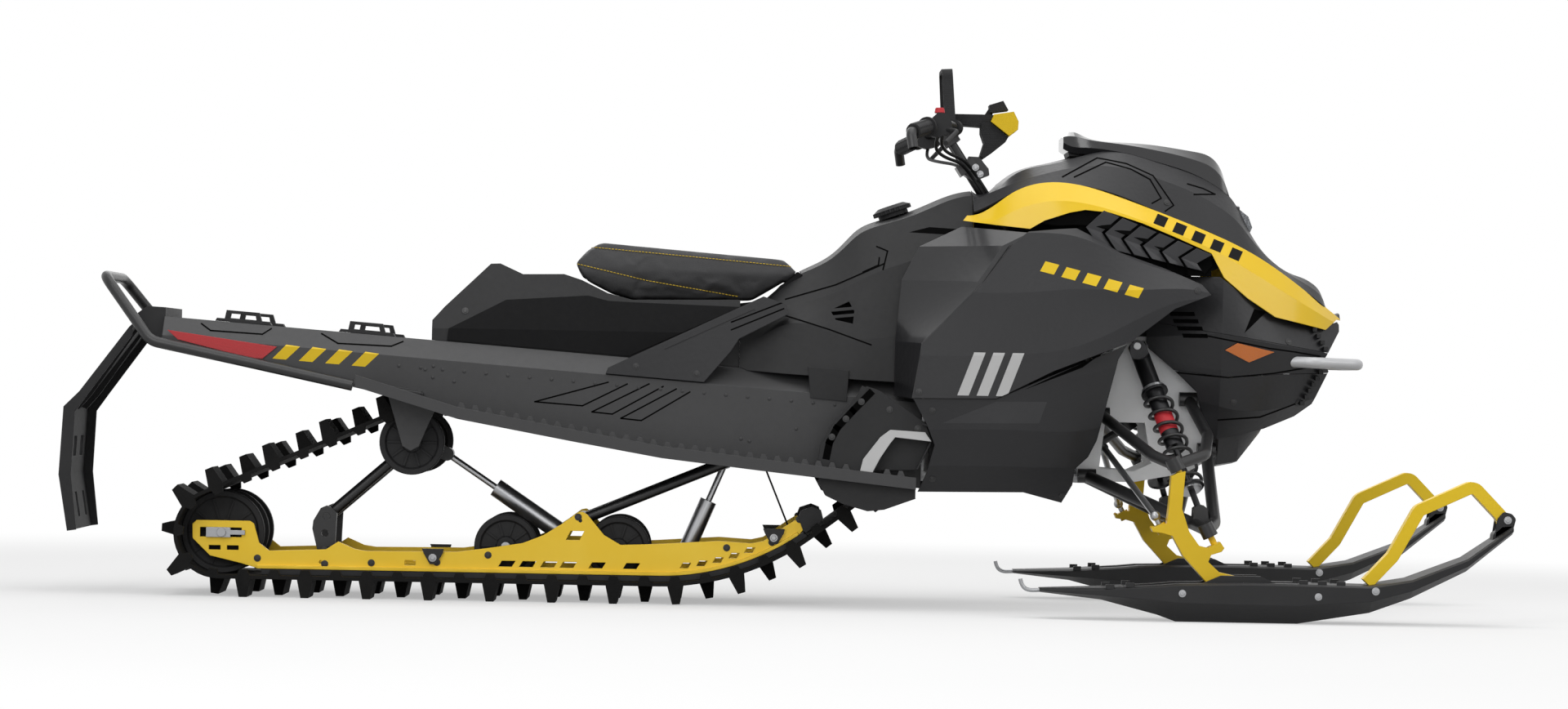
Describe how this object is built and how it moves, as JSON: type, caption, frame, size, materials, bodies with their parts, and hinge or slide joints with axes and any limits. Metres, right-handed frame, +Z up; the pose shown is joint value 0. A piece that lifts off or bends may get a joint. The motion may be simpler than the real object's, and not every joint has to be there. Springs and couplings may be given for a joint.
{
  "type": "mountain snowmobile",
  "caption": "One-seat snow vehicle with a lugged rubber track in a sheet tunnel, slide rails, two steered skis on A-arms, a swept bar and faceted body panels.",
  "frame": {"origin": "on the ground under the middle of the machine's bounding box", "axes": "+X forward to the skis' tips, +Y to the machine's left, +Z up"},
  "size_m": [3.157, 1.085, 1.2026],
  "materials": {
    "track": "moulded rubber",
    "wheels": "rubber tyre on black wheel",
    "skid_shafts": "plain steel",
    "drive_axle": "moulded",
    "slide_rails": "yellow anodised",
    "rail_sliders": "slippery plastic",
    "skid_arms": "black paint",
    "skid_shocks": "clear anodised",
    "limiter_straps": "woven webbing",
    "tunnel": "dark coated sheet",
    "running_boards": "dark coated",
    "footwells": "moulded",
    "toe_rails": "pale grey",
    "rear_bumper": "black paint",
    "tail_cap": "moulded",
    "snow_flap": "flexible sheet",
    "cargo_anchors": "moulded",
    "tail_reflectors": "red lens",
    "seat_base": "moulded",
    "seat_side_panels": "moulded",
    "seat_cushion": "grained cover over foam",
    "frame_braces": "black paint",
    "console": "moulded",
    "fuel_cap": "moulded",
    "hood": "satin",
    "accent_panels": "yellow",
    "vent_panels": "moulded",
    "side_panels": "satin",
    "knee_panels": "moulded",
    "lower_panels": "satin",
    "nose_panels": "satin",
    "nose_grille": "moulded",
    "front_bumper": "grey paint",
    "marker_lenses": "amber lens",
    "visor": "dark tinted",
    "gauge": "display",
    "headlamp": "lamp lens",
    "bulkhead": "cast",
    "upper_arms": "black paint",
    "lower_arms": "black paint",
    "ski_shocks": "clear anodised",
    "ski_springs": "black coil",
    "engine_block": "cast",
    "steering_column": "black paint",
    "riser": "black anodised",
    "handlebar": "black coated",
    "bar_controls": "rubber grips and moulded housings",
    "bar_pad": "padded cover and webbing",
    "bar_bag": "yellow cover",
    "knuckle_left": "yellow coated forging",
    "ski_left": "moulded",
    "ski_handle_left": "yellow",
    "tie_rod_left": "plain steel",
    "knuckle_right": "yellow coated forging",
    "ski_right": "moulded",
    "ski_handle_right": "yellow",
    "tie_rod_right": "plain steel"
  },
  "bodies": {
    "chassis": {"track": "track", "wheels": "wheels", "skid_shafts": "skid_shafts", "drive_axle": "drive_axle", "slide_rails": "slide_rails", "rail_sliders": "rail_sliders", "skid_arms": "skid_arms", "skid_shocks": "skid_shocks", "limiter_straps": "limiter_straps", "tunnel": "tunnel", "running_boards": "running_boards", "footwells": "footwells", "toe_rails": "toe_rails", "rear_bumper": "rear_bumper", "tail_cap": "tail_cap", "snow_flap": "snow_flap", "cargo_anchors": "cargo_anchors", "tail_reflectors": "tail_reflectors", "seat_base": "seat_base", "seat_side_panels": "seat_side_panels", "seat_cushion": "seat_cushion", "frame_braces": "frame_braces", "console": "console", "fuel_cap": "fuel_cap", "hood": "hood", "accent_panels": "accent_panels", "vent_panels": "vent_panels", "side_panels": "side_panels", "knee_panels": "knee_panels", "lower_panels": "lower_panels", "nose_panels": "nose_panels", "nose_grille": "nose_grille", "front_bumper": "front_bumper", "marker_lenses": "marker_lenses", "visor": "visor", "gauge": "gauge", "headlamp": "headlamp", "bulkhead": "bulkhead", "upper_arms": "upper_arms", "lower_arms": "lower_arms", "ski_shocks": "ski_shocks", "ski_springs": "ski_springs", "engine_block": "engine_block"},
    "steering": {"steering_column": "steering_column", "riser": "riser", "handlebar": "handlebar", "bar_controls": "bar_controls", "bar_pad": "bar_pad", "bar_bag": "bar_bag"},
    "knuckle_assembly_left": {"knuckle_left": "knuckle_left"},
    "ski_assembly_left": {"ski_left": "ski_left", "ski_handle_left": "ski_handle_left"},
    "tie_rod_body_left": {"tie_rod_left": "tie_rod_left"},
    "knuckle_assembly_right": {"knuckle_right": "knuckle_right"},
    "ski_assembly_right": {"ski_right": "ski_right", "ski_handle_right": "ski_handle_right"},
    "tie_rod_body_right": {"tie_rod_right": "tie_rod_right"}
  },
  "joints": [
    {"name": "steer", "type": "hinge", "parent": "chassis", "child": "steering", "pos_m": [0.4385, 0, 0.955], "axis": [-0.5446, 0, 0.8387], "range_deg": [-35, 35]},
    {"name": "knuckle_turn_left", "type": "hinge", "parent": "chassis", "child": "knuckle_assembly_left", "pos_m": [0.8555, 0.4675, 0.335], "axis": [-0.4573, 0, 0.8893], "range_deg": [-32, 32]},
    {"name": "tie_rod_turn_left", "type": "hinge", "parent": "knuckle_assembly_left", "child": "tie_rod_body_left", "pos_m": [0.8145, 0.4675, 0.224], "axis": [-0.4573, 0, 0.8893], "range_deg": [-32, 32]},
    {"name": "ski_rock_left", "type": "hinge", "parent": "knuckle_assembly_left", "child": "ski_assembly_left", "pos_m": [1.0015, 0.4675, 0.075], "axis": [0, 1, 0], "range_deg": [-20, 12]},
    {"name": "knuckle_turn_right", "type": "hinge", "parent": "chassis", "child": "knuckle_assembly_right", "pos_m": [0.8555, -0.4675, 0.335], "axis": [-0.4573, 0, 0.8893], "range_deg": [-32, 32]},
    {"name": "tie_rod_turn_right", "type": "hinge", "parent": "knuckle_assembly_right", "child": "tie_rod_body_right", "pos_m": [0.8145, -0.4675, 0.224], "axis": [-0.4573, 0, 0.8893], "range_deg": [-32, 32]},
    {"name": "ski_rock_right", "type": "hinge", "parent": "knuckle_assembly_right", "child": "ski_assembly_right", "pos_m": [1.0015, -0.4675, 0.075], "axis": [0, 1, 0], "range_deg": [-20, 12]}
  ],
  "couplings": [
    {"joint": "knuckle_turn_left", "follows": "steer", "ratio": 0.85},
    {"joint": "tie_rod_turn_left", "follows": "steer", "ratio": -0.85},
    {"joint": "knuckle_turn_right", "follows": "steer", "ratio": 0.85},
    {"joint": "tie_rod_turn_right", "follows": "steer", "ratio": -0.85}
  ]
}
